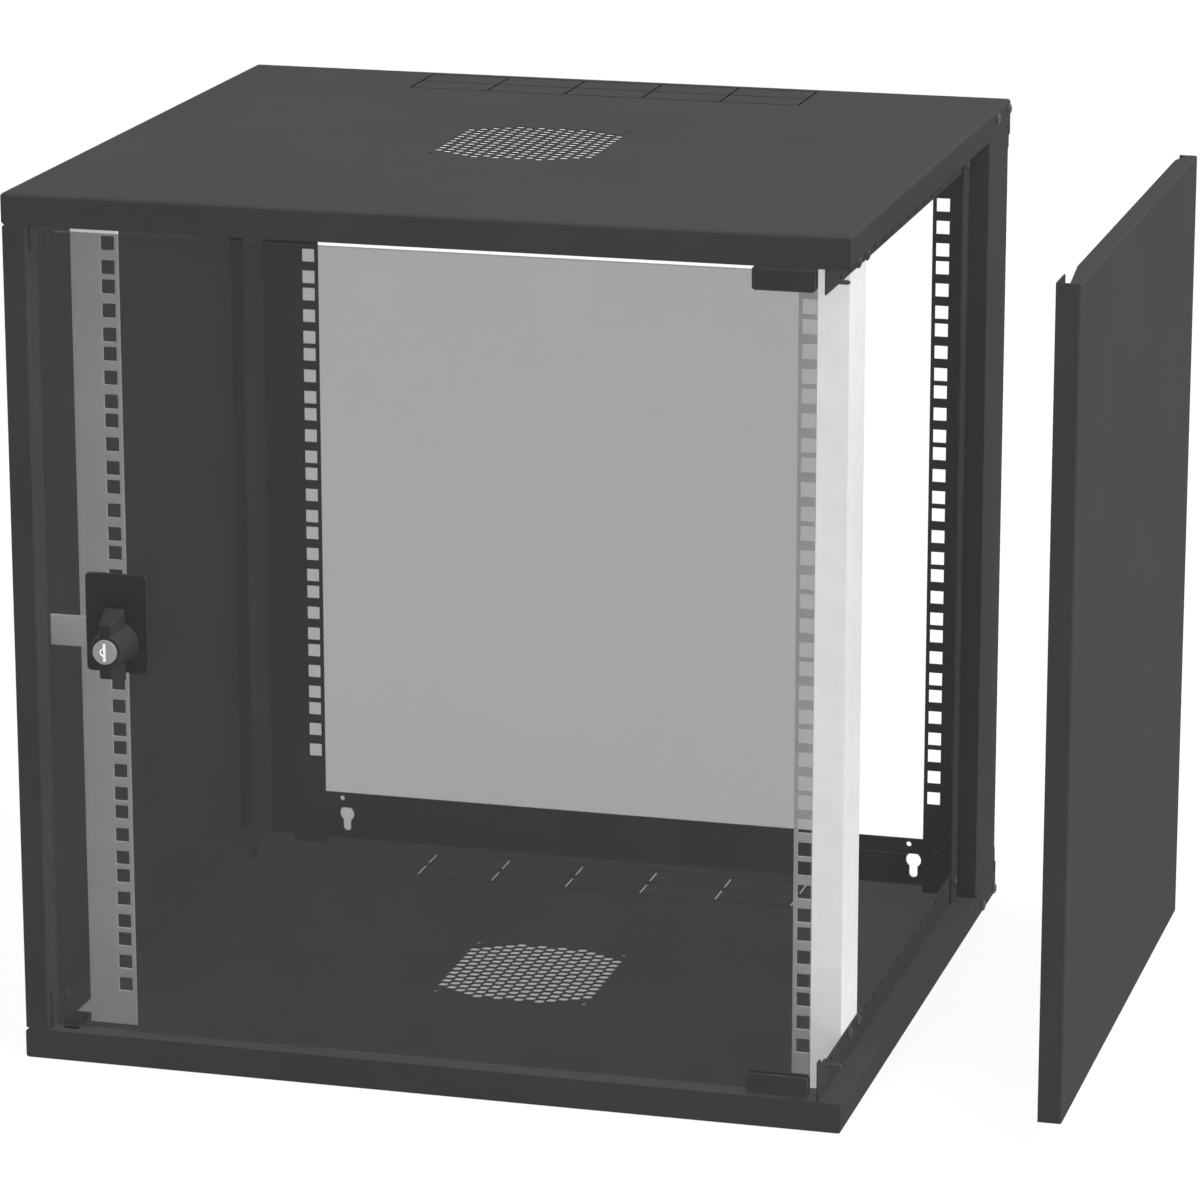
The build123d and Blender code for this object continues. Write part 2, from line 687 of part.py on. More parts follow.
# Key barrel in the grip, with its key slot
with BuildPart() as lock_cylinder:
    with BuildSketch(facing_front(lock_x, cylinder_front, lock_z)):
        Circle(cylinder_face / 2)
    extrude(amount=-cylinder_proud - cylinder_collar_depth)
    with BuildSketch(facing_front(lock_x, cylinder_front, lock_z)):
        RegularPolygon(cylinder_barrel / 2, round_sides)
    extrude(amount=-cylinder_barrel_depth)
    with BuildSketch(facing_front(lock_x, cylinder_front, lock_z)):
        Rectangle(key_slot_width, key_slot_height)
    extrude(amount=-key_slot_depth, mode=Mode.SUBTRACT)

# Cam on the spindle's square, reaching behind the left side panel's lip, and its screw
with BuildPart() as lock_cam:
    with BuildSketch(facing_front(lock_x, cam_front, lock_z)):
        Circle(cam_hub / 2)
        with Locations((0, -cam_arm_below_axis)):
            Rectangle(lock_x - cam_tip_x, cam_arm_width, align=(Align.MAX, Align.MIN))
        Rectangle(cam_bore, cam_bore, mode=Mode.SUBTRACT)
    extrude(amount=-cam_sheet)
with BuildPart() as cam_screw:
    with BuildSketch(facing_front(lock_x, cam_front + cam_sheet, lock_z)):
        RegularPolygon(cam_screw_head / 2, round_sides)
    extrude(amount=-cam_screw_head_height)
    with BuildSketch(facing_front(lock_x, cam_front + cam_sheet, lock_z)):
        RegularPolygon(cam_screw_shank / 2, screw_sides)
    extrude(amount=cam_screw_length)

pieces = {
    "floor_tray": floor_tray,
    "roof_tray": roof_tray,
    "rear_post_left": rear_post_left,
    "rear_post_right": rear_post_right,
    "crossbar_bottom": crossbar_bottom,
    "crossbar_top": crossbar_top,
    "front_rail_left": front_rail_left,
    "front_rail_right": front_rail_right,
    "panel_screws": panel_screws,
    "corner_screws": corner_screws,
    "lip_screws": lip_screws,
    "rail_screws": rail_screws,
    "door_bumper": door_bumper,
    "hinge_washers": hinge_washers,
    "side_panel_left": side_panel_left,
    "side_panel_right": side_panel_right,
    "door_glass": door_glass,
    "hinge_clip_bottom": hinge_clip_bottom,
    "hinge_clip_top": hinge_clip_top,
    "clip_pad_bottom": clip_pad_bottom,
    "clip_pad_top": clip_pad_top,
    "clip_screws": clip_screws,
    "hinge_pin_bottom": hinge_pin_bottom,
    "hinge_pin_top": hinge_pin_top,
    "lock_housing": lock_housing,
    "lock_gasket": lock_gasket,
    "lock_nut": lock_nut,
    "lock_knob": lock_knob,
    "lock_cylinder": lock_cylinder,
    "lock_cam": lock_cam,
    "cam_screw": cam_screw,
}
for name, piece in pieces.items():
    piece.part.label = name
    export_step(piece.part, f"parts/{name}.step")
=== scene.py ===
import json
from math import cos, pi, radians, sin

import bmesh
import bpy
from mathutils import Matrix, Vector

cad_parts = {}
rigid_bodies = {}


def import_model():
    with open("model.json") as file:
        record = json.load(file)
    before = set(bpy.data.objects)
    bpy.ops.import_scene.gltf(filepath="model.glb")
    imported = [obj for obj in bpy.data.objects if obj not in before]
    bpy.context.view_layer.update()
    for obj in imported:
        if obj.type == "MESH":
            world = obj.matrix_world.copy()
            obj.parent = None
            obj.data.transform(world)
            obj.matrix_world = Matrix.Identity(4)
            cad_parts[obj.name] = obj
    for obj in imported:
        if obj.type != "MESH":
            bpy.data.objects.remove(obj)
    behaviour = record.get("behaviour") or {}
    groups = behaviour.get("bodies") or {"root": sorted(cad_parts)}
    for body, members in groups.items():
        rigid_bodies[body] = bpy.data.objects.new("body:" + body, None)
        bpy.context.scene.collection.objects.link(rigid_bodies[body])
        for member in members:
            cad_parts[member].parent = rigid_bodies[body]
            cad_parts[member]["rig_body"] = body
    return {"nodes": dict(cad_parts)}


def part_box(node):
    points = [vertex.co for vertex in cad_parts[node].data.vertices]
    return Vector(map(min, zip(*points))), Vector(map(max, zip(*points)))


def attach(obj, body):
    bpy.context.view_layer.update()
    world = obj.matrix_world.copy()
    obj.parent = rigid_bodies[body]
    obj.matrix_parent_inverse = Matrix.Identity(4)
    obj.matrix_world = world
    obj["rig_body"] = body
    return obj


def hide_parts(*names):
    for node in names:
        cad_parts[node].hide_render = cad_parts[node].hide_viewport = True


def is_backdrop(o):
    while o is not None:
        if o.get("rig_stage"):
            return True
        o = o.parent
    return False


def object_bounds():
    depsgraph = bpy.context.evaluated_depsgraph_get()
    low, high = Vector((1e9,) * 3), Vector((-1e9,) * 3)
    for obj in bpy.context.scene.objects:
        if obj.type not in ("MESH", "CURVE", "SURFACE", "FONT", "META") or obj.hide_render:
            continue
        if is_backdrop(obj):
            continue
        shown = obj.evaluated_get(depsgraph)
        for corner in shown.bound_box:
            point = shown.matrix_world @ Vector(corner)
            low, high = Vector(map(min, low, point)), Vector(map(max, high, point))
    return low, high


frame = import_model()
cad_low, cad_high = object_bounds()
nodes = frame["nodes"]
scene = bpy.context.scene

# Levels and grains of the finishes, in metres
coat_level = 0.0505
# Lighter edge grey of the powder coat: partly wear, partly a painted highlight on the folds
edge_wear_and_highlight_level = 0.085
coat_roughness = 0.65
coat_grain = 0.0006
# Near-black painted shade in the trays' flange holes and knock-out grooves
painted_hollow_shade_level = 0.008

# Cable knock-outs and flange holes of the trays, where painted shade marks their grooves and holes, in
# metres
knockout_pitch = 0.0558
knockout_depth = 0.028
knockout_columns = 5
groove_half = 0.0007
floor_knockouts_y = 0.209
roof_knockouts_y = 0.2145
first_flange_hole = -0.208
last_flange_hole = 0.167
flange_hole_pitch = 0.025
flange_hole_radius = 0.0015
flange_hole_height = 0.0349


# Node helpers for the finishes
def new_finish(name):
    """A finish, its shader and the object's own coordinates."""
    finish = bpy.data.materials.new(name)
    finish.use_nodes = True
    tree = finish.node_tree
    place = tree.nodes.new("ShaderNodeTexCoord").outputs["Object"]
    return finish, tree, tree.nodes["Principled BSDF"], place


def maths(tree, operation, first, second=0.0, third=0.0):
    """One sum on values or sockets."""
    step = tree.nodes.new("ShaderNodeMath")
    step.operation = operation
    for socket, value in zip(step.inputs, (first, second, third)):
        if isinstance(value, (int, float)):
            socket.default_value = value
        else:
            tree.links.new(value, socket)
    return step.outputs["Value"]


def spread(tree, value, low, high, new_low, new_high):
    """A value stretched from one range to another, and held inside it."""
    stretch = tree.nodes.new("ShaderNodeMapRange")
    for name, limit in (("From Min", low), ("From Max", high), ("To Min", new_low), ("To Max", new_high)):
        stretch.inputs[name].default_value = limit
    tree.links.new(value, stretch.inputs["Value"])
    return stretch.outputs["Result"]


def grains(tree, place, size, detail=3.0, stretch=(1, 1, 1)):
    """Cloudy noise with grains of about that size in metres."""
    mapping = tree.nodes.new("ShaderNodeMapping")
    mapping.inputs["Scale"].default_value = stretch
    cloud = tree.nodes.new("ShaderNodeTexNoise")
    cloud.inputs["Scale"].default_value = 1 / size
    cloud.inputs["Detail"].default_value = detail
    cloud.inputs["Roughness"].default_value = 0.55
    tree.links.new(place, mapping.inputs["Vector"])
    tree.links.new(mapping.outputs["Vector"], cloud.inputs["Vector"])
    return cloud.outputs["Fac"]


def shades(tree, factor, dark, light):
    """A grey or tint between two others, given as red, green and blue or as sockets."""
    mix = tree.nodes.new("ShaderNodeMix")
    mix.data_type = "RGBA"
    tree.links.new(factor, mix.inputs[0])
    for socket, colour in zip(mix.inputs[6:8], (dark, light)):
        if isinstance(colour, tuple):
            socket.default_value = (*colour, 1)
        else:
            tree.links.new(colour, socket)
    return mix.outputs[2]


def grey(level):
    """A neutral grey of some level."""
    return (level, level, level)


def sheet_edges(tree, radius):
    """How near a point is to a sharp edge, from 0 to 1, and the normal that rounds the edge."""
    rounded = tree.nodes.new("ShaderNodeBevel")
    rounded.samples = 6
    rounded.inputs["Radius"].default_value = radius
    flat = tree.nodes.new("ShaderNodeNewGeometry")
    match = tree.nodes.new("ShaderNodeVectorMath")
    match.operation = "DOT_PRODUCT"
    tree.links.new(rounded.outputs["Normal"], match.inputs[0])
    tree.links.new(flat.outputs["Normal"], match.inputs[1])
    return spread(tree, match.outputs["Value"], 0.8, 1.0, 1.0, 0.0), rounded.outputs["Normal"]


def relief(tree, shader, height, depth, normal):
    """Fine relief, its depth in metres, on top of the rounded edges."""
    bump = tree.nodes.new("ShaderNodeBump")
    bump.inputs["Strength"].default_value = 0.8
    bump.inputs["Distance"].default_value = depth
    tree.links.new(height, bump.inputs["Height"])
    tree.links.new(normal, bump.inputs["Normal"])
    tree.links.new(bump.outputs["Normal"], shader.inputs["Normal"])


# Finishes
def powder_coat(name, level, wear_and_highlight_level, roughness, grain):
    """Black powder coating with a fine grain, lighter on its edges: partly where the coat wears thin, partly
    a painted highlight.
    """
    finish, tree, shader, place = new_finish(name)
    cloud = spread(tree, grains(tree, place, 0.09, 4), 0.35, 0.65, 0, 1)
    fine = grains(tree, place, grain, 2)
    edge, normal = sheet_edges(tree, 0.0009)
    # Edges mixed to a lighter grey, broken up by noise: partly wear, partly a painted highlight
    wear_and_highlight = maths(tree, "MULTIPLY", edge, spread(tree, grains(tree, place, 0.012, 5), 0.42, 0.62, 0.15, 1))
    coat = shades(tree, cloud, grey(0.95 * level), grey(1.05 * level))
    tree.links.new(shades(tree, wear_and_highlight, coat, grey(wear_and_highlight_level)), shader.inputs["Base Color"])
    tree.links.new(spread(tree, cloud, 0, 1, roughness - 0.04, roughness + 0.06), shader.inputs["Roughness"])
    shader.inputs["Specular IOR Level"].default_value = 0.002
    relief(tree, shader, fine, 0.000006, normal)
    return finish


def tray_coat(name, groove_middle, crossed):
    """The powder coat of a tray, with painted shade in its flange holes and in the grooves of its
    knock-outs.
    """
    finish = powder_coat(name, coat_level, edge_wear_and_highlight_level, coat_roughness, coat_grain)
    tree = finish.node_tree
    place = tree.nodes["Texture Coordinate"].outputs["Object"]
    colour = tree.nodes["Principled BSDF"].inputs["Base Color"]
    painted = colour.links[0].from_socket
    grooves = knockout_grooves(tree, place, groove_middle, crossed)
    # Painted shade: flange holes and knock-out grooves are mixed to a near-black grey
    painted_hollow_shade = maths(tree, "MAXIMUM", flange_holes(tree, place), grooves)
    tree.links.new(shades(tree, painted_hollow_shade, painted, grey(painted_hollow_shade_level)), colour)
    return finish


def knockout_grooves(tree, place, middle, crossed):
    """1 inside the grooves round the cable knock-outs, which lie about a middle line near the wall."""
    half_width = knockout_columns * knockout_pitch / 2
    split = tree.nodes.new("ShaderNodeSeparateXYZ")
    tree.links.new(place, split.inputs["Vector"])
    aside = maths(tree, "ABSOLUTE", split.outputs["X"])
    away = maths(tree, "ABSOLUTE", maths(tree, "SUBTRACT", split.outputs["Y"], middle))
    outer_row = maths(tree, "ABSOLUTE", maths(tree, "SUBTRACT", away, knockout_depth))
    on_row = maths(tree, "LESS_THAN", maths(tree, "MINIMUM", away, outer_row), groove_half)
    in_width = maths(tree, "LESS_THAN", aside, half_width + groove_half)
    rows = maths(tree, "MULTIPLY", on_row, in_width)
    if not crossed:
        return rows
    turn = maths(tree, "FRACT", maths(tree, "MULTIPLY", aside, 1 / knockout_pitch))
    along = maths(tree, "MULTIPLY", maths(tree, "SUBTRACT", turn, 0.5), knockout_pitch)
    column = maths(tree, "ABSOLUTE", along)
    on_column = maths(tree, "LESS_THAN", column, groove_half)
    in_depth = maths(tree, "LESS_THAN", away, knockout_depth)
    in_field = maths(tree, "MULTIPLY", in_depth, in_width)
    return maths(tree, "MAXIMUM", rows, maths(tree, "MULTIPLY", on_column, in_field))


def flange_holes(tree, place):
    """1 inside the small holes that run along the trays' side flanges, a row near each tray; the holes are
    not cut, only painted dark as shade.
    """
    split = tree.nodes.new("ShaderNodeSeparateXYZ")
    tree.links.new(place, split.inputs["Vector"])
    depth, height = split.outputs["Y"], split.outputs["Z"]
    first = 0.5 - first_flange_hole / flange_hole_pitch
    turn = maths(tree, "FRACT", maths(tree, "MULTIPLY_ADD", depth, 1 / flange_hole_pitch, first))
    across = maths(tree, "MULTIPLY", maths(tree, "SUBTRACT", turn, 0.5), flange_hole_pitch)
    low = maths(tree, "ABSOLUTE", maths(tree, "SUBTRACT", height, flange_hole_height))
    high = maths(tree, "ABSOLUTE", maths(tree, "SUBTRACT", height, cad_high.z - flange_hole_height))
    up = maths(tree, "MINIMUM", low, high)
    square = maths(tree, "MULTIPLY_ADD", up, up, maths(tree, "MULTIPLY", across, across))
    inside = maths(tree, "LESS_THAN", maths(tree, "SQRT", square), flange_hole_radius)
    middle = (first_flange_hole + last_flange_hole) / 2
    reach = (last_flange_hole - first_flange_hole + flange_hole_pitch) / 2
    return maths(tree, "MULTIPLY", inside, maths(tree, "COMPARE", depth, middle, reach))


def zinc_plate(name, level, stretch):
    """Zinc-plated sheet with faint crystals, a fine rolled grain and a painted highlight on its edges."""
    finish, tree, shader, place = new_finish(name)
    crystals = tree.nodes.new("ShaderNodeTexVoronoi")
    crystals.inputs["Scale"].default_value = 1 / 0.011
    tree.links.new(place, crystals.inputs["Vector"])
    rolled = grains(tree, place, 0.0008, 2, stretch)
    cloud = maths(tree, "MULTIPLY_ADD", crystals.outputs["Distance"], 0.35, grains(tree, place, 0.05, 4))
    edge, normal = sheet_edges(tree, 0.0007)
    plate = shades(tree, spread(tree, cloud, 0.4, 0.85, 0, 1), grey(0.96 * level), grey(1.03 * level))
    # Edges mixed to a lighter grey: a painted highlight on the folds
    tree.links.new(shades(tree, edge, plate, grey(1.12 * level)), shader.inputs["Base Color"])
    tree.links.new(spread(tree, rolled, 0.3, 0.7, 0.42, 0.56), shader.inputs["Roughness"])
    shader.inputs["Metallic"].default_value = 0.1
    shader.inputs["Specular IOR Level"].default_value = 0.12
    relief(tree, shader, rolled, 0.000008, normal)
    return finish


def moulding(name, level, roughness, grain):
    """Moulded rubber or plastic with a matt grain and a painted highlight on its edges."""
    finish, tree, shader, place = new_finish(name)
    cloud = spread(tree, grains(tree, place, 0.02, 4), 0.35, 0.65, 0, 1)
    fine = grains(tree, place, grain, 2)
    edge, normal = sheet_edges(tree, 0.0005)
    skin = shades(tree, cloud, grey(0.85 * level), grey(1.15 * level))
    # Edges mixed to a lighter grey: a painted highlight
    tree.links.new(shades(tree, edge, skin, grey(1.8 * level)), shader.inputs["Base Color"])
    gloss = spread(tree, fine, 0.3, 0.7, roughness - 0.05, roughness + 0.08)
    tree.links.new(gloss, shader.inputs["Roughness"])
    shader.inputs["Specular IOR Level"].default_value = 0.2
    relief(tree, shader, fine, 0.00002, normal)
    return finish


def turned_metal(name, level, roughness, metallic, centre=None):
    """Turned or plated metal with a painted highlight on its edges; with a centre, its rings run round that
    point's depth axis.
    """
    finish, tree, shader, place = new_finish(name)
    if centre is None:
        rings = grains(tree, place, 0.0006, 3)
    else:
        shift = tree.nodes.new("ShaderNodeMapping")
        shift.inputs["Location"].default_value = -centre
        tree.links.new(place, shift.inputs["Vector"])
        wave = tree.nodes.new("ShaderNodeTexWave")
        wave.wave_type = "RINGS"
        wave.rings_direction = "Y"
        wave.inputs["Scale"].default_value = 900
        wave.inputs["Distortion"].default_value = 3
        wave.inputs["Detail"].default_value = 3
        tree.links.new(shift.outputs["Vector"], wave.inputs["Vector"])
        rings = wave.outputs["Fac"]
    edge, normal = sheet_edges(tree, 0.0003)
    face = shades(tree, rings, grey(0.9 * level), grey(1.1 * level))
    # Edges mixed to a lighter grey: a painted highlight
    tree.links.new(shades(tree, edge, face, grey(1.3 * level)), shader.inputs["Base Color"])
    tree.links.new(spread(tree, rings, 0, 1, roughness, roughness + 0.12), shader.inputs["Roughness"])
    shader.inputs["Metallic"].default_value = metallic
    relief(tree, shader, rings, 0.000008, normal)
    return finish


def smoked_glass():
    """Grey toughened glass, a third of the light seen through both faces, denser at its cut edges.

    Shadow and diffuse rays pass it, so that the inside is lit as the outside is."""
    finish, tree, shader, place = new_finish("smoked glass")
    smudge = spread(tree, grains(tree, place, 0.06, 5), 0.4, 0.7, 0, 1)
    facing = tree.nodes.new("ShaderNodeSeparateXYZ")
    own = tree.nodes.new("ShaderNodeTexCoord")
    tree.links.new(own.outputs["Normal"], facing.inputs["Vector"])
    cut_edge = maths(tree, "LESS_THAN", maths(tree, "ABSOLUTE", facing.outputs["Y"]), 0.5)
    pane = shades(tree, smudge, (0.045, 0.046, 0.0465), (0.050, 0.051, 0.0515))
    tree.links.new(shades(tree, cut_edge, pane, (0.050, 0.056, 0.053)), shader.inputs["Base Color"])
    tree.links.new(spread(tree, smudge, 0, 1, 0.04, 0.12), shader.inputs["Roughness"])
    tree.links.new(spread(tree, cut_edge, 0, 1, 0.425, 0.6), shader.inputs["Alpha"])
    shader.inputs["Specular IOR Level"].default_value = 0.04
    finish.surface_render_method = "BLENDED"
    rays = tree.nodes.new("ShaderNodeLightPath")
    unseen = maths(tree, "MAXIMUM", rays.outputs["Is Shadow Ray"], rays.outputs["Is Diffuse Ray"])
    clear = tree.nodes.new("ShaderNodeBsdfTransparent")
    either = tree.nodes.new("ShaderNodeMixShader")
    tree.links.new(unseen, either.inputs[0])
    tree.links.new(shader.outputs["BSDF"], either.inputs[1])
    tree.links.new(clear.outputs["BSDF"], either.inputs[2])
    tree.links.new(either.outputs["Shader"], tree.nodes["Material Output"].inputs["Surface"])
    return finish


cylinder_low, cylinder_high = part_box("lock_cylinder")
lock_axis = (cylinder_low + cylinder_high) / 2
coat = powder_coat("black powder coat", coat_level, edge_wear_and_highlight_level, coat_roughness, coat_grain)
floor_coat = tray_coat("floor tray coat", floor_knockouts_y, False)
roof_coat = tray_coat("roof tray coat", roof_knockouts_y, True)
# The third value is the lighter edge grey: partly wear, partly a painted highlight
clip_coat = powder_coat("clip coat", 0.046, 0.16, 0.5, 0.0005)
lock_coat = powder_coat("lock coat", 0.037, 0.12, 0.4, 0.0004)
rail_zinc = zinc_plate("rail zinc", 0.78, (1, 1, 0.06))
cam_zinc = zinc_plate("cam zinc", 0.80, (0.06, 1, 1))
rubber = moulding("rubber", 0.024, 0.75, 0.0006)
nylon = moulding("black nylon", 0.034, 0.4, 0.0005)
pin_steel = turned_metal("pin steel", 0.5, 0.3, 0.8)
lock_nickel = turned_metal("lock nickel", 0.27, 0.4, 0.3, lock_axis)
shutter_steel = turned_metal("shutter steel", 0.95, 0.2, 0.1)
black_zinc = turned_metal("black zinc", 0.042, 0.4, 0.1)
glass = smoked_glass()

node_finishes = {
    floor_coat: ("floor_tray",),
    roof_coat: ("roof_tray",),
    coat: (
        "rear_post_left",
        "rear_post_right",
        "crossbar_bottom",
        "crossbar_top",
        "side_panel_left",
        "side_panel_right",
    ),
    rail_zinc: ("front_rail_left", "front_rail_right"),
    cam_zinc: ("lock_cam",),
    clip_coat: ("hinge_clip_bottom", "hinge_clip_top"),
    lock_coat: ("lock_housing", "lock_knob"),
    lock_nickel: ("lock_cylinder",),
    rubber: ("door_bumper", "clip_pad_bottom", "clip_pad_top", "lock_gasket"),
    nylon: ("hinge_washers",),
    pin_steel: ("hinge_pin_bottom", "hinge_pin_top"),
    black_zinc: (
        "panel_screws",
        "corner_screws",
        "lip_screws",
        "rail_screws",
        "clip_screws",
        "lock_nut",
        "cam_screw",
    ),
    glass: ("door_glass",),
}
for finish, names in node_finishes.items():
    for name in names:
        nodes[name].data.materials.clear()
        nodes[name].data.materials.append(finish)


# Small turned and cut pieces, drawn in millimetres about their own axis
def turned(outline, steps=32):
    """A closed shape turned about Z from radius and height pairs."""
    shape = bmesh.new()
    line = [shape.verts.new((radius, 0, height)) for radius, height in outline]
    rim = [shape.edges.new(ends) for ends in zip(line, line[1:])]
    whole = {"cent": (0, 0, 0), "axis": (0, 0, 1), "angle": 2 * pi, "steps": steps, "use_merge": True}
    bmesh.ops.spin(shape, geom=line + rim, **whole)
    bmesh.ops.remove_doubles(shape, verts=shape.verts, dist=0.0005)
    bmesh.ops.recalc_face_normals(shape, faces=shape.faces)
    return shape


def block(size, middle, taper=(1, 1), rounding=0.0, turn=0.0):
    """A block about a middle, its lower end scaled by the taper and its edges rounded."""
    shape = bmesh.new()
    bmesh.ops.create_cube(shape, size=1)
    bmesh.ops.scale(shape, vec=size, verts=shape.verts)
    foot = [point for point in shape.verts if point.co.z < 0]
    bmesh.ops.scale(shape, vec=(*taper, 1), verts=foot)
    if rounding:
        soft = {"affect": "EDGES", "segments": 3, "profile": 0.5, "material": -1}
        bmesh.ops.bevel(shape, geom=shape.edges[:], offset=rounding, offset_type="OFFSET", **soft)
    bmesh.ops.rotate(shape, verts=shape.verts, cent=(0, 0, 0), matrix=Matrix.Rotation(turn, 3, "Z"))
    bmesh.ops.translate(shape, verts=shape.verts, vec=middle)
    return shape


def combined(shape, others, operation):
    """The shape with other shapes added to it or taken out of it."""
    held = []
    for part in (shape, *others):
        mesh = bpy.data.meshes.new("part")
        part.to_mesh(mesh)
        part.free()
        held.append(bpy.data.objects.new("part", mesh))
        scene.collection.objects.link(held[-1])
    for other in held[1:]:
        step = held[0].modifiers.new("step", "BOOLEAN")
        step.operation = operation
        step.solver = "EXACT"
        step.object = other
    graph = bpy.context.evaluated_depsgraph_get()
    made = bpy.data.meshes.new_from_object(held[0].evaluated_get(graph))
    result = bmesh.new()
    result.from_mesh(made)
    bmesh.ops.remove_doubles(result, verts=result.verts, dist=0.002)
    bmesh.ops.dissolve_degenerate(result, edges=result.edges, dist=0.002)
    for part in held:
        bpy.data.objects.remove(part)
    return result


def cross_blades(top, width, depth):
    """Two tapered blades that cut a screw's cross recess."""
    size = (width, 0.24 * width, 2 * depth)
    return [block(size, (0, 0, top), (0.4, 0.6), 0.0, turn) for turn in (0, pi / 2)]


def placed(name, shape, spots, finish, carrier):
    """One object with a copy of the shape at every spot, riding on the same body as a node."""
    single = bpy.data.meshes.new(name + "_single")
    shape.to_mesh(single)
    shape.free()
    group = bmesh.new()
    for spot in spots:
        count = len(group.verts)
        group.from_mesh(single)
        group.verts.ensure_lookup_table()
        bmesh.ops.transform(group, matrix=spot @ Matrix.Scale(0.001, 4), verts=group.verts[count:])
    mesh = bpy.data.meshes.new(name)
    group.to_mesh(mesh)
    group.free()
    mesh.shade_smooth()
    mesh.set_sharp_from_angle(angle=radians(32))
    mesh.materials.append(finish)
    piece = bpy.data.objects.new(name, mesh)
    scene.collection.objects.link(piece)
    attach(piece, nodes[carrier]["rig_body"])
    return piece


to_right = Matrix.Rotation(pi / 2, 4, "Y")
to_left = Matrix.Rotation(-pi / 2, 4, "Y")
to_wall = Matrix.Rotation(-pi / 2, 4, "X")
to_door = Matrix.Rotation(pi / 2, 4, "X")

# Dome-headed screws on the trays' sides and flanges
head_radius = 4.0
head_height = 2.4
hexagon_half = head_radius * sin(pi / 3)


def dome_head(radius, height):
    """A dome head with a cross recess, its seat at zero."""
    rim = 0.15 * height
    turns = [step * pi / 16 for step in range(8)]
    arc = [(radius * cos(turn), rim + (height - rim) * sin(turn)) for turn in turns]
    outline = [(0, 0), (0.94 * radius, 0), *arc, (0, height)]
    return combined(turned(outline), cross_blades(height, 0.95 * radius, 0.5 * height), "DIFFERENCE")


def side_spots(node):
    """Seats of the heads in a node of screws on both sides, from its box."""
    low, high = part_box(node)
    seat = high.x - head_height / 1000
    inset = Vector((0, head_radius, hexagon_half)) / 1000
    depths = {round((low + inset).y, 5), round((high - inset).y, 5)}
    heights = ((low + inset).z, (high - inset).z)
    return [
        Matrix.Translation((side * seat, depth, height)) @ turn
        for side, turn in ((1, to_right), (-1, to_left))
        for depth in sorted(depths)
        for height in heights
    ]


for node in ("corner_screws", "lip_screws", "rail_screws"):
    head = dome_head(head_radius, head_height)
    screws = placed(node + "_domed", head, side_spots(node), black_zinc, node)
    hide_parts(node)

# Panel screws: a head inside the flange and a threaded shank that reaches out
low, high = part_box("panel_screws")
shank_reach = 10.0
shank_radius = 1.8
root_radius = 1.15
thread_start = 1.2
thread_pitch = 1.75
thread_turns = 5
flange_inside = high.x - shank_reach / 1000
thread = [
    (root_radius if step % 2 else shank_radius, thread_start + step * thread_pitch / 2)
    for step in range(2 * thread_turns)
]
shank = turned([(0, -0.5), (shank_radius, -0.5), *thread, (1.2, shank_reach), (0, shank_reach)], 20)
inner_head = dome_head(head_radius, head_height)
bmesh.ops.rotate(inner_head, verts=inner_head.verts, cent=(0, 0, 0), matrix=Matrix.Rotation(pi, 3, "X"))
panel_screw = combined(inner_head, [shank], "UNION")
panel_spots = [
    Matrix.Translation((side * flange_inside, (low.y + high.y) / 2, height)) @ turn
    for side, turn in ((1, to_right), (-1, to_left))
    for height in (low.z + hexagon_half / 1000, high.z - hexagon_half / 1000)
]
screws = placed("panel_screws_threaded", panel_screw, panel_spots, black_zinc, "panel_screws")
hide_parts("panel_screws")

# Set screws in the backs of the hinge clips, with a six-sided socket
low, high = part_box("clip_screws")
set_radius = 2.5
set_hexagon_half = set_radius * sin(pi / 3)
socket = turned([(0, 0.3), (1.3, 0.3), (1.3, 2.0), (0, 2.0)], 6)
set_screw = turned([(0, 0), (2.3, 0), (2.3, 1.0), (2.1, 1.2), (0, 1.2)], 24)
set_screw = combined(set_screw, [socket], "DIFFERENCE")
set_spots = [
    Matrix.Translation((side, low.y, height)) @ to_wall
    for side in (low.x + set_radius / 1000, high.x - set_radius / 1000)
    for height in (low.z + set_hexagon_half / 1000, high.z - set_hexagon_half / 1000)
]
set_screws = placed("clip_set_screws", set_screw, set_spots, black_zinc, "clip_screws")
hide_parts("clip_screws")

# Cam: a hub on the spindle with an arm to the left panel's lip, lower on the hub than in the solid
low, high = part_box("lock_cam")
cam_sheet = 1000 * (high.y - low.y)
arm_length = 1000 * (lock_axis.x - low.x)
arm_width = 20.5
arm_below_axis = 11.5
hub_radius = 10.5
spindle_hole = 6.4
hub = turned([(0, 0), (hub_radius, 0), (hub_radius, cam_sheet), (0, cam_sheet)], 48)
arm_middle = (-arm_length / 2, arm_width / 2 - arm_below_axis, cam_sheet / 2)
arm = block((arm_length, arm_width, cam_sheet), arm_middle, rounding=0.3)
bore = block((spindle_hole, spindle_hole, 3 * cam_sheet), (0, 0, cam_sheet / 2))
cam = combined(combined(hub, [arm], "UNION"), [bore], "DIFFERENCE")
cam_place = Matrix.Translation((lock_axis.x, high.y, lock_axis.z)) @ to_door
cam_piece = placed("lock_cam_plate", cam, [cam_place], cam_zinc, "lock_cam")
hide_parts("lock_cam")

# Screw that holds the cam
low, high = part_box("cam_screw")
cam_head_height = 2.6
cam_seat = Matrix.Translation((lock_axis.x, high.y - cam_head_height / 1000, lock_axis.z))
cam_shank = turned([(0, -8), (1.7, -8), (1.7, 0.2), (0, 0.2)], 20)
cam_head = combined(dome_head(4.5, cam_head_height), [cam_shank], "UNION")
cam_screw = placed("cam_screw_domed", cam_head, [cam_seat @ to_wall], black_zinc, "cam_screw")
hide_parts("cam_screw")

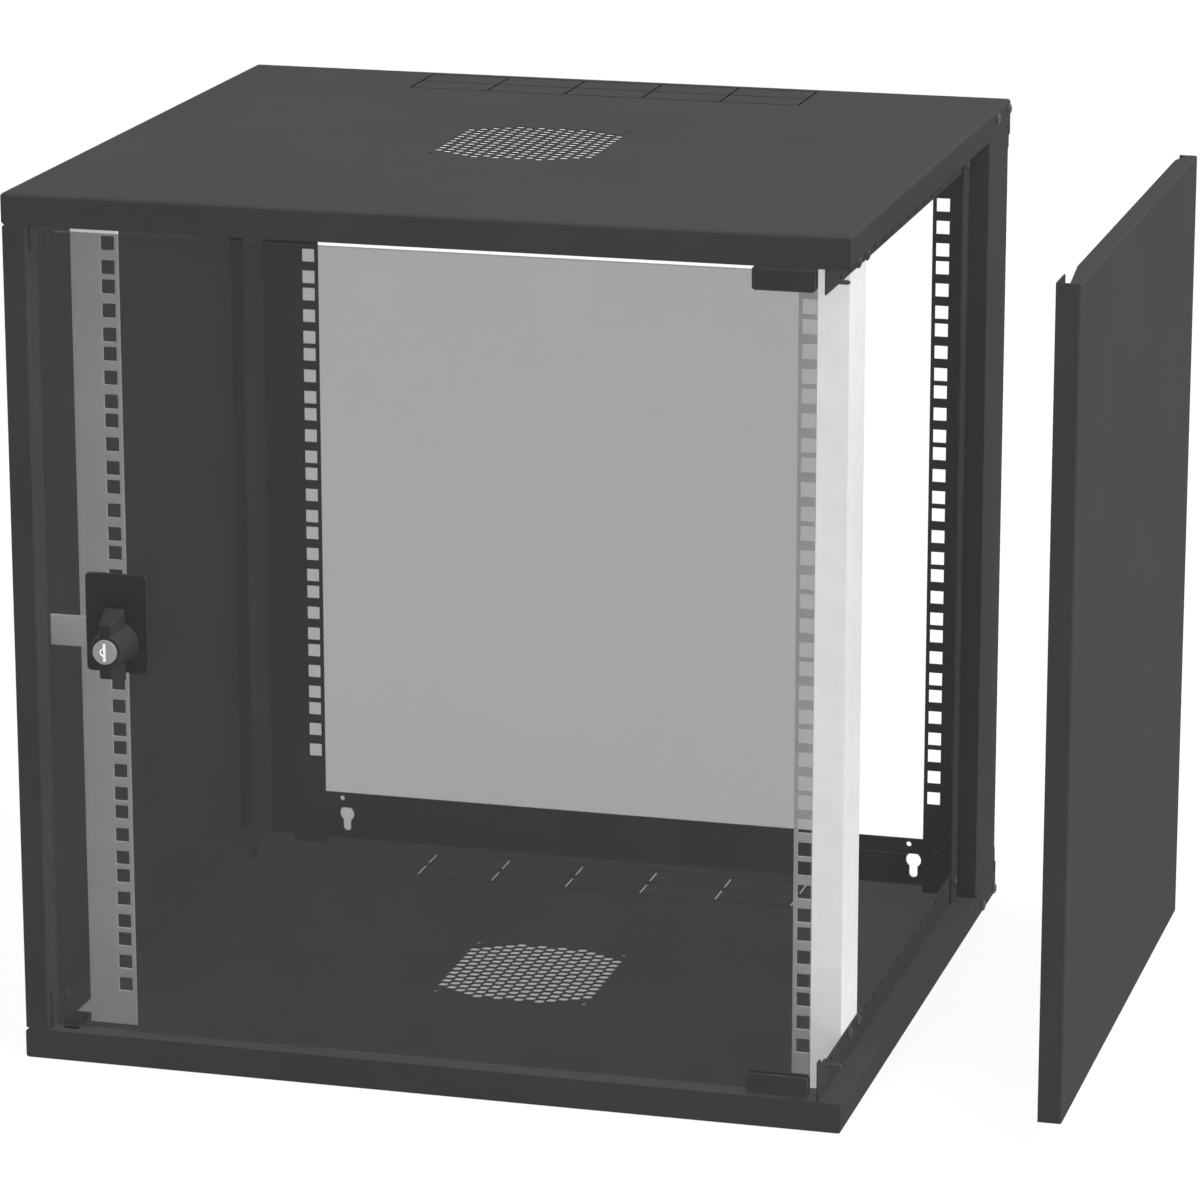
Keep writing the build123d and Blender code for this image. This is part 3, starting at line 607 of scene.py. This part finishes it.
# Turning grip: a cone with a rounded bar across it and a pocket for the key barrel
low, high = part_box("lock_knob")
grip_height = 24.0
plate_y = low.y + grip_height / 1000
grip_seat = Matrix.Translation((lock_axis.x, plate_y, lock_axis.z)) @ to_door
flare = [(0, 0.2), (13.7, 0.2), (14.0, 0.6), (13.9, 1.4), (10.6, 23.2)]
cone = turned([*flare, (10.0, grip_height), (0, grip_height)], 64)
bar = block((8.5, 36.0, 20.0), (0, 0, 14.0), (13.5 / 8.5, 48.0 / 36.0), 1.1)
spindle = turned([(0, -26), (3.0, -26), (3.0, -22.4), (4.8, -22.4), (4.8, 1), (0, 1)], 32)
grip = combined(cone, [bar, spindle], "UNION")
pocket = turned([(0, 8.5), (5.7, 8.5), (5.7, 19.7), (8.15, 19.7), (8.15, 26), (0, 26)], 48)
grip = combined(grip, [pocket], "DIFFERENCE")
grip_piece = placed("lock_grip", grip, [grip_seat], lock_coat, "lock_knob")
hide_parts("lock_knob")

# Key barrel with a keyway, and the bright shutter that closes it
barrel_seat = Matrix.Translation((lock_axis.x, cylinder_low.y, lock_axis.z)) @ to_door
face = turned([(0, -17), (5.4, -17), (5.4, -6), (7.9, -6), (7.9, -0.4), (7.5, 0), (0, 0)], 64)
way = block((2.0, 12.2, 6.0), (0, 0, -1.0))
loop = turned([(0, -3.0), (2.8, -3.0), (2.8, 1.0), (0, 1.0)], 32)
bmesh.ops.translate(loop, verts=loop.verts, vec=(-0.5, 0, 0))
loop = combined(loop, [block((6.0, 8.0, 6.0), (3.2, 0, -1.0))], "DIFFERENCE")
barrel = combined(face, [way, loop], "DIFFERENCE")
barrel_piece = placed("key_barrel_face", barrel, [barrel_seat], lock_nickel, "lock_cylinder")
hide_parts("lock_cylinder")
plate = block((1.9, 12.0, 2.6), (0, 0, -1.6))
ring = turned([(1.9, -2.8), (2.7, -2.8), (2.7, -0.3), (1.9, -0.3), (1.9, -2.8)], 32)
bmesh.ops.translate(ring, verts=ring.verts, vec=(-0.5, 0, 0))
ring = combined(ring, [block((6.0, 8.0, 6.0), (2.5, 0, -1.6))], "DIFFERENCE")
shutter = combined(plate, [ring], "UNION")
placed("key_shutter", shutter, [barrel_seat], shutter_steel, "lock_cylinder")
# A black core in the keyhole pocket: painted shade, so the keyhole reads dark under the even light
keyhole_shade_core = turned([(0, -2.95), (1.7, -2.95), (1.8, -2.85), (1.8, -0.9), (0, -0.7)], 32)
bmesh.ops.translate(keyhole_shade_core, verts=keyhole_shade_core.verts, vec=(-0.5, 0, 0))
keyhole_shade_core = combined(keyhole_shade_core, [block((6.0, 8.0, 6.0), (3.1, 0, -1.6))], "DIFFERENCE")
placed("keyhole_shade_piece", keyhole_shade_core, [barrel_seat], black_zinc, "lock_cylinder")


# Floor, lights and camera
def shown_ray(tree):
    """1 for the rays that show the background: from the camera, in gloss and through glass."""
    rays = tree.nodes.new("ShaderNodeLightPath")
    seen = maths(tree, "MAXIMUM", rays.outputs["Is Camera Ray"], rays.outputs["Is Glossy Ray"])
    return maths(tree, "MAXIMUM", seen, rays.outputs["Is Transmission Ray"])


def pale_floor():
    """A large pale floor that keeps a soft shadow."""
    plane = bmesh.new()
    bmesh.ops.create_grid(plane, x_segments=1, y_segments=1, size=30)
    bmesh.ops.translate(plane, verts=plane.verts, vec=(0, 0, -0.0002))
    mesh = bpy.data.meshes.new("studio_floor")
    plane.to_mesh(mesh)
    plane.free()
    floor = bpy.data.objects.new("studio_floor", mesh)
    scene.collection.objects.link(floor)
    finish, tree, shader = new_finish("pale floor")[:3]
    shader.inputs["Base Color"].default_value = (*grey(0.38), 1)
    shader.inputs["Roughness"].default_value = 0.9
    shader.inputs["Specular IOR Level"].default_value = 0.0
    shader.inputs["Emission Color"].default_value = (*grey(1), 1)
    tree.links.new(spread(tree, shown_ray(tree), 0, 1, 0, 0.5), shader.inputs["Emission Strength"])
    mesh.materials.append(finish)
    floor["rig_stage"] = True


def studio_world():
    """An even white room, dimmer as light than as background."""
    world = bpy.data.worlds.new("studio")
    world.use_nodes = True
    tree = world.node_tree
    background = tree.nodes["Background"]
    background.inputs["Color"].default_value = (*grey(1), 1)
    tree.links.new(spread(tree, shown_ray(tree), 0, 1, 0.22, 1), background.inputs["Strength"])
    scene.world = world


def aimed(name, data, place, direction):
    """An object for a lamp, turned to shine along a direction."""
    holder = bpy.data.objects.new(name, data)
    scene.collection.objects.link(holder)
    holder.location = place
    holder.rotation_mode = "QUATERNION"
    holder.rotation_quaternion = Vector(direction).to_track_quat("-Z", "Y")
    return holder


def soft_lamp(name, place, size, power):
    """A large square lamp that looks at the cabinet's middle."""
    lamp = bpy.data.lights.new(name, "AREA")
    lamp.shape = "SQUARE"
    lamp.size = size
    lamp.energy = power
    aimed(name, lamp, place, Vector((0, 0, 0.3)) - Vector(place))


def even_light(name, direction, strength):
    """A weak sun without shadows, so that the inside is lit as evenly as the outside."""
    lamp = bpy.data.lights.new(name, "SUN")
    lamp.energy = strength
    lamp.angle = 0.5
    lamp.use_shadow = False
    aimed(name, lamp, (0, 0, 2), direction).visible_glossy = False


pale_floor()
studio_world()
soft_lamp("soft lamp", (2.4, -1.2, 3.0), 2.4, 36)
even_light("even top light", (0, 0, -1), 3.15)
even_light("even right light", (-1, 0, 0), 2.4)
even_light("even front light", (0, 1, 0), 1.17)
even_light("even left light", (1, 0, 0), 1.5)
even_light("even wall light", (0, -1, 0), 1.5)

camera = bpy.data.cameras.new("camera")
camera.lens = 162
camera.sensor_width = 36
camera.shift_x = -0.0147
camera.shift_y = 0.0215
camera.clip_end = 100
eye = bpy.data.objects.new("camera", camera)
scene.collection.objects.link(eye)
scene.camera = eye
right = Vector((0.96569301, 0.25968634, 0.00011184))
up = Vector((-0.06948014, 0.25796009, 0.96365404))
axes = Matrix((right, up, right.cross(up))).transposed()
eye.matrix_world = Matrix.Translation((0.9733, -3.3931, 1.2264)) @ axes.to_4x4()
scene.view_settings.view_transform = "Standard"

low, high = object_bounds()
